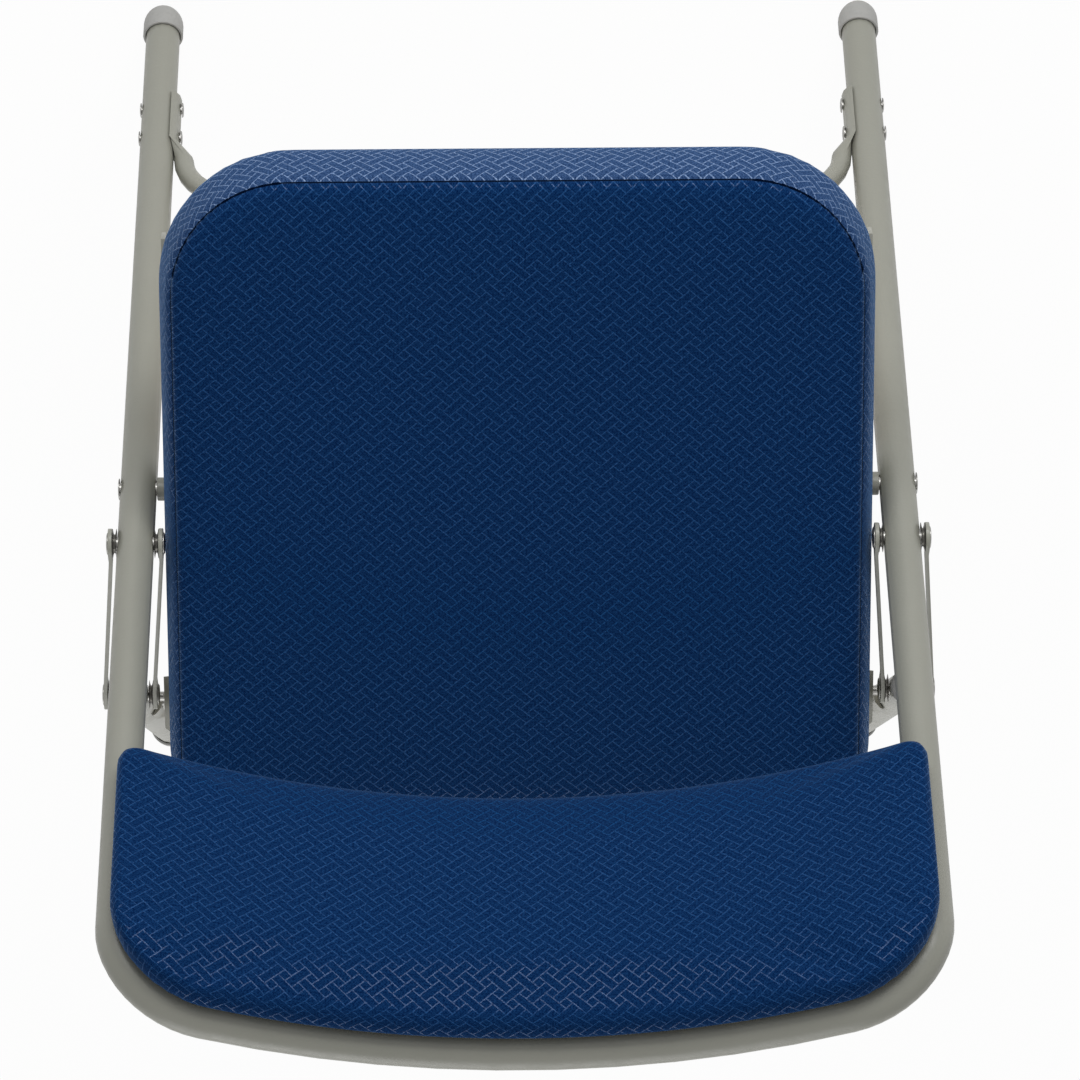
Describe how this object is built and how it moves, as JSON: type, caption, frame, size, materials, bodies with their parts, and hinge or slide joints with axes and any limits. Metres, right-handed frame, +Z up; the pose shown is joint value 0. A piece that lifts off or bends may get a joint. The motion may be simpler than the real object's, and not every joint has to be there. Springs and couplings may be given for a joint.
{
  "type": "padded folding chair",
  "caption": "Folding chair with a bent steel tube frame, a boxed fabric seat and a bowed fabric back; the seat, hinge bars and rear legs swing together to lie flat.",
  "frame": {"origin": "on the floor, in the middle of the open chair's width and depth", "axes": "+Z up, the sitter faces -Y, +X to the sitter's left"},
  "size_m": [0.509, 0.5616, 0.7485],
  "materials": {
    "powder": "warm grey powder coat, satin",
    "plated": "plated steel, lightly dulled",
    "plastic": "moulded grey plastic",
    "fabric": "navy woven upholstery with a small lattice",
    "plywood": "bare plywood"
  },
  "bodies": {
    "front_frame": {"back_board": "plywood", "back_cushion": "fabric", "back_panel": "powder", "back_screw_left_1": "plated", "back_screw_left_2": "plated", "back_screw_right_1": "plated", "back_screw_right_2": "plated", "front_brace_rivet_left_1": "plated", "front_brace_rivet_left_2": "plated", "front_brace_rivet_right_1": "plated", "front_brace_rivet_right_2": "plated", "front_cross_brace": "powder", "front_foot_cap_left": "plastic", "front_foot_cap_right": "plastic", "front_frame_tube": "powder", "hinge_rivet_front_left": "plated", "hinge_rivet_front_right": "plated", "hinge_spacer_front_inner_left": "plated", "hinge_spacer_front_inner_right": "plated", "hinge_spacer_front_outer_left": "plated", "hinge_spacer_front_outer_right": "plated", "seat_pivot_rivet_left": "plated", "seat_pivot_rivet_right": "plated", "seat_pivot_sleeve_left": "powder", "seat_pivot_sleeve_right": "powder"},
    "seat": {"seat_board": "plywood", "seat_cushion": "fabric", "seat_rail_left": "powder", "seat_rail_right": "powder", "seat_screw_left_1": "plated", "seat_screw_left_2": "plated", "seat_screw_right_1": "plated", "seat_screw_right_2": "plated"},
    "hinge_left": {"hinge_bar_inner_left": "powder", "hinge_bar_outer_left": "powder"},
    "hinge_right": {"hinge_bar_inner_right": "powder", "hinge_bar_outer_right": "powder"},
    "rear_legs": {"ear_rivet_left": "plated", "ear_rivet_right": "plated", "hinge_rivet_rear_left": "plated", "hinge_rivet_rear_right": "plated", "hinge_spacer_rear_inner_left": "plated", "hinge_spacer_rear_inner_right": "plated", "hinge_spacer_rear_outer_left": "plated", "hinge_spacer_rear_outer_right": "plated", "rear_brace_lower": "powder", "rear_brace_upper": "powder", "rear_foot_cap_left": "plastic", "rear_foot_cap_right": "plastic", "rear_leg_left": "powder", "rear_leg_plug_left": "plastic", "rear_leg_plug_right": "plastic", "rear_leg_right": "powder", "rear_lower_rivet_left_1": "plated", "rear_lower_rivet_right_1": "plated", "rear_upper_rivet_left_1": "plated", "rear_upper_rivet_right_1": "plated"}
  },
  "joints": [
    {"name": "seat_fold", "type": "hinge", "parent": "front_frame", "child": "seat", "pos_m": [0, -0.0647, 0.38826], "axis": [1, 0, 0], "range_deg": [0, 58]},
    {"name": "hinge_left_turn", "type": "hinge", "parent": "front_frame", "child": "hinge_left", "pos_m": [0, -0.0464, 0.42937], "axis": [1, 0, 0], "range_deg": [0, 68.5]},
    {"name": "hinge_right_turn", "type": "hinge", "parent": "front_frame", "child": "hinge_right", "pos_m": [0, -0.0464, 0.42937], "axis": [1, 0, 0], "range_deg": [0, 68.5]},
    {"name": "rear_leg_fold", "type": "hinge", "parent": "hinge_left", "child": "rear_legs", "pos_m": [0, 0.07663, 0.372], "axis": [1, 0, 0], "range_deg": [-118, 0]}
  ],
  "couplings": [
    {"joint": "hinge_left_turn", "follows": "seat_fold", "ratio": 1.17},
    {"joint": "hinge_right_turn", "follows": "seat_fold", "ratio": 1.17},
    {"joint": "rear_leg_fold", "follows": "seat_fold", "ratio": -2.0225}
  ]
}
